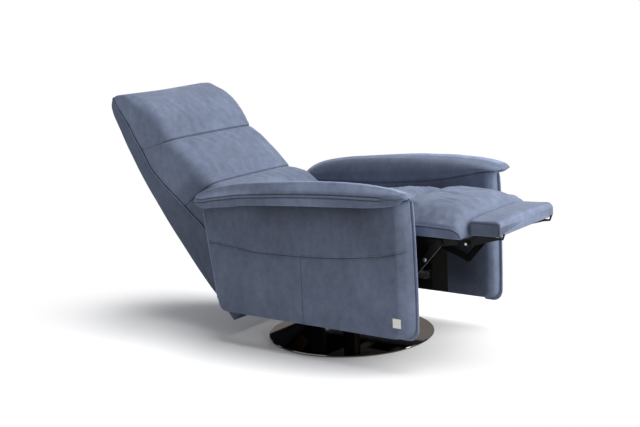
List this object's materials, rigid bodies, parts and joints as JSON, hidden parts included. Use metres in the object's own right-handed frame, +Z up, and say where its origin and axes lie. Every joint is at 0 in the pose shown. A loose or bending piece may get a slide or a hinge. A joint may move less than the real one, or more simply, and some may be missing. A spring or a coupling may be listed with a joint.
{
  "type": "swivel recliner",
  "caption": "Upholstered swivel recliner on a round disc base, laid back with its two-part leg rest raised; drop-over arm pads and a three-cushion back.",
  "frame": {"origin": "centre of the base's underside, on the floor and on the swivel axis", "axes": "+Z up, -Y the way the sitter faces, +X the sitter's left"},
  "size_m": [0.716, 1.6231, 0.8766],
  "materials": {
    "upholstery": "napped, matt blue-grey",
    "dark_chrome": "polished, near black",
    "black_steel": "satin black powder coat",
    "zinc_steel": "zinc plated",
    "satin_plate": "satin, plain",
    "plywood": "raw",
    "lining": "thin non-woven",
    "webbing": "elastic webbing",
    "felt": "felt",
    "black_plastic": "moulded",
    "grey_plastic": "moulded",
    "white_plastic": "moulded"
  },
  "bodies": {
    "base": {"base_felt": "felt", "base_disc": "dark_chrome", "base_column": "dark_chrome", "column_screws": "zinc_steel", "column_bush": "black_plastic", "bearing_lower": "zinc_steel"},
    "frame": {"swivel_spindle": "zinc_steel", "bearing_upper": "zinc_steel", "swivel_plate": "black_steel", "frame_rails": "black_steel", "mount_plates": "black_steel", "slide_rails": "black_steel", "arm_core_left": "plywood", "arm_core_right": "plywood", "arm_outer_left": "upholstery", "arm_outer_right": "upholstery", "arm_inner_left": "upholstery", "arm_inner_right": "upholstery", "arm_pad_left": "upholstery", "arm_pad_right": "upholstery", "arm_linings": "lining", "corner_plate": "satin_plate", "control_panel": "black_plastic", "battery_pack": "black_plastic"},
    "switch_back": {"rocker_back": "grey_plastic"},
    "switch_legs": {"rocker_legs": "grey_plastic"},
    "carriage": {"seat_plate_left": "black_steel", "seat_plate_right": "black_steel", "seat_rails": "black_steel", "seat_tubes": "black_steel", "motor_tubes": "black_steel", "slider_shoes": "white_plastic", "seat_straps": "webbing", "seat_cushion": "upholstery", "hinge_pins": "zinc_steel", "leg_actuator": "black_plastic"},
    "leg_drive_rod": {"leg_actuator_rod": "zinc_steel"},
    "back_drive": {"recline_actuator": "black_plastic"},
    "back_drive_rod": {"recline_actuator_rod": "zinc_steel"},
    "back": {"back_brackets": "black_steel", "back_uprights": "plywood", "back_bars": "black_steel", "recline_lug": "black_steel", "back_panel": "upholstery", "back_side_left": "upholstery", "back_side_right": "upholstery", "head_pad": "upholstery", "middle_pad": "upholstery", "lower_pad": "upholstery"},
    "leg_rest": {"leg_board": "black_steel", "leg_pad": "upholstery", "leg_brackets": "black_steel", "foot_lugs": "black_steel"},
    "foot_flap": {"foot_board": "black_steel", "foot_pad": "upholstery", "foot_brackets": "black_steel"},
    "lower_link": {"torsion_tube": "black_steel", "lower_links": "black_steel"},
    "upper_link": {"upper_links": "black_steel"}
  },
  "joints": [
    {"name": "swivel", "type": "hinge", "parent": "base", "child": "frame", "pos_m": [0, 0, 0.1], "axis": [0, 0, 1], "continuous": true},
    {"name": "recline", "type": "hinge", "parent": "carriage", "child": "back", "pos_m": [0, 0.225, 0.415], "axis": [1, 0, 0], "range_deg": [0, 30]},
    {"name": "seat_slide", "type": "slide", "parent": "frame", "child": "carriage", "axis": [0, -1, 0], "range_m": [0, 0.0701]},
    {"name": "leg_rest", "type": "hinge", "parent": "carriage", "child": "leg_rest", "pos_m": [0, -0.316, 0.43], "axis": [1, 0, 0], "range_deg": [0, 88]},
    {"name": "foot_flap", "type": "hinge", "parent": "leg_rest", "child": "foot_flap", "pos_m": [0, -0.585, 0.422], "axis": [1, 0, 0], "range_deg": [0, 176.5]},
    {"name": "lower_link", "type": "hinge", "parent": "carriage", "child": "lower_link", "pos_m": [0, -0.19, 0.335], "axis": [1, 0, 0], "range_deg": [0, 90.5]},
    {"name": "upper_link", "type": "hinge", "parent": "lower_link", "child": "upper_link", "pos_m": [0, -0.37, 0.27], "axis": [1, 0, 0], "range_deg": [-65.5, 0]},
    {"name": "leg_drive", "type": "slide", "parent": "carriage", "child": "leg_drive_rod", "axis": [0, 1, 0], "range_m": [0, 0.0855]},
    {"name": "back_drive_tilt", "type": "hinge", "parent": "carriage", "child": "back_drive", "pos_m": [0, -0.1, 0.2], "axis": [1, 0, 0], "range_deg": [0, 9.8]},
    {"name": "back_drive", "type": "slide", "parent": "back_drive", "child": "back_drive_rod", "axis": [0, 1, 0], "range_m": [0, 0.099]},
    {"name": "switch_back", "type": "hinge", "parent": "frame", "child": "switch_back", "pos_m": [-0.2476, -0.359, 0.524], "axis": [0, 0, 1], "range_deg": [-5, 5], "stiffness_Nm_per_rad": 0.05},
    {"name": "switch_legs", "type": "hinge", "parent": "frame", "child": "switch_legs", "pos_m": [-0.2476, -0.331, 0.524], "axis": [0, 0, 1], "range_deg": [-5, 5], "stiffness_Nm_per_rad": 0.05}
  ],
  "couplings": [
    {"joint": "seat_slide", "follows": "recline", "m_per_rad": 0.13369},
    {"joint": "back_drive_tilt", "follows": "recline", "ratio": 0.31946},
    {"joint": "back_drive", "follows": "recline", "m_per_rad": 0.18794},
    {"joint": "foot_flap", "follows": "leg_rest", "ratio": 2},
    {"joint": "lower_link", "follows": "leg_rest", "ratio": 1.0217},
    {"joint": "upper_link", "follows": "leg_rest", "ratio": -0.73674},
    {"joint": "leg_drive", "follows": "leg_rest", "m_per_rad": 0.055205}
  ]
}
